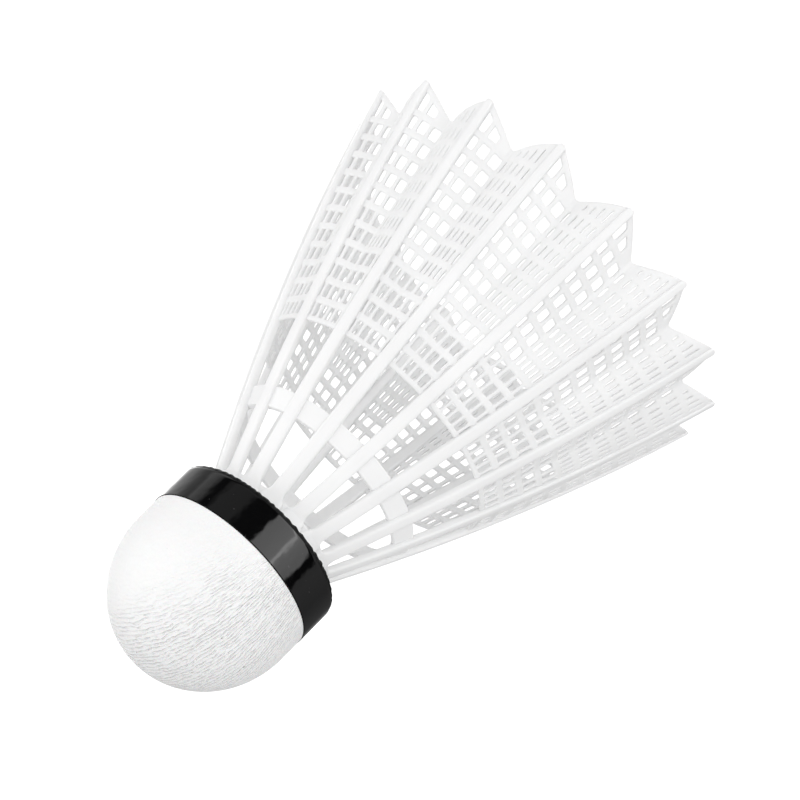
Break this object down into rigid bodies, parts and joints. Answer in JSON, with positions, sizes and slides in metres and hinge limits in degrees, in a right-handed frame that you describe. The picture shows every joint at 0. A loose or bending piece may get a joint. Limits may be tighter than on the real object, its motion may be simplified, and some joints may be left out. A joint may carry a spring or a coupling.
{
  "type": "badminton shuttlecock",
  "caption": "Synthetic badminton shuttlecock: a round-nosed cork head in a white skin with a black tape band, on an open conical nylon skirt of ribs and pleated mesh.",
  "frame": {"origin": "centre of the circle of points at the rim of the skirt, in the plane the shuttlecock stands on", "axes": "+Z along the axis of symmetry, from the rim of the skirt to the nose of the head; +X through the point of the first stem"},
  "size_m": [0.065, 0.065, 0.0825],
  "materials": {
    "cork": "compressed cork, hidden",
    "head_skin": "white synthetic leather with a fine wrinkled grain",
    "tape": "glossy black tape",
    "glue": "cured adhesive, hidden",
    "nylon": "satin white moulded nylon, slightly translucent",
    "mesh_nylon": "satin white moulded nylon, thin and slightly translucent"
  },
  "bodies": {
    "root": {"base_core": "cork", "base_cover": "head_skin", "band": "tape", "glue_layer": "glue", "skirt_collar": "nylon", "hoop": "nylon", "stem_01": "nylon", "stem_02": "nylon", "stem_03": "nylon", "stem_04": "nylon", "stem_05": "nylon", "stem_06": "nylon", "stem_07": "nylon", "stem_08": "nylon", "stem_09": "nylon", "stem_10": "nylon", "stem_11": "nylon", "stem_12": "nylon", "stem_13": "nylon", "stem_14": "nylon", "stem_15": "nylon", "stem_16": "nylon", "mesh_panel_01": "mesh_nylon", "mesh_panel_02": "mesh_nylon", "mesh_panel_03": "mesh_nylon", "mesh_panel_04": "mesh_nylon", "mesh_panel_05": "mesh_nylon", "mesh_panel_06": "mesh_nylon", "mesh_panel_07": "mesh_nylon", "mesh_panel_08": "mesh_nylon", "mesh_panel_09": "mesh_nylon", "mesh_panel_10": "mesh_nylon", "mesh_panel_11": "mesh_nylon", "mesh_panel_12": "mesh_nylon", "mesh_panel_13": "mesh_nylon", "mesh_panel_14": "mesh_nylon", "mesh_panel_15": "mesh_nylon", "mesh_panel_16": "mesh_nylon"}
  },
  "joints": []
}
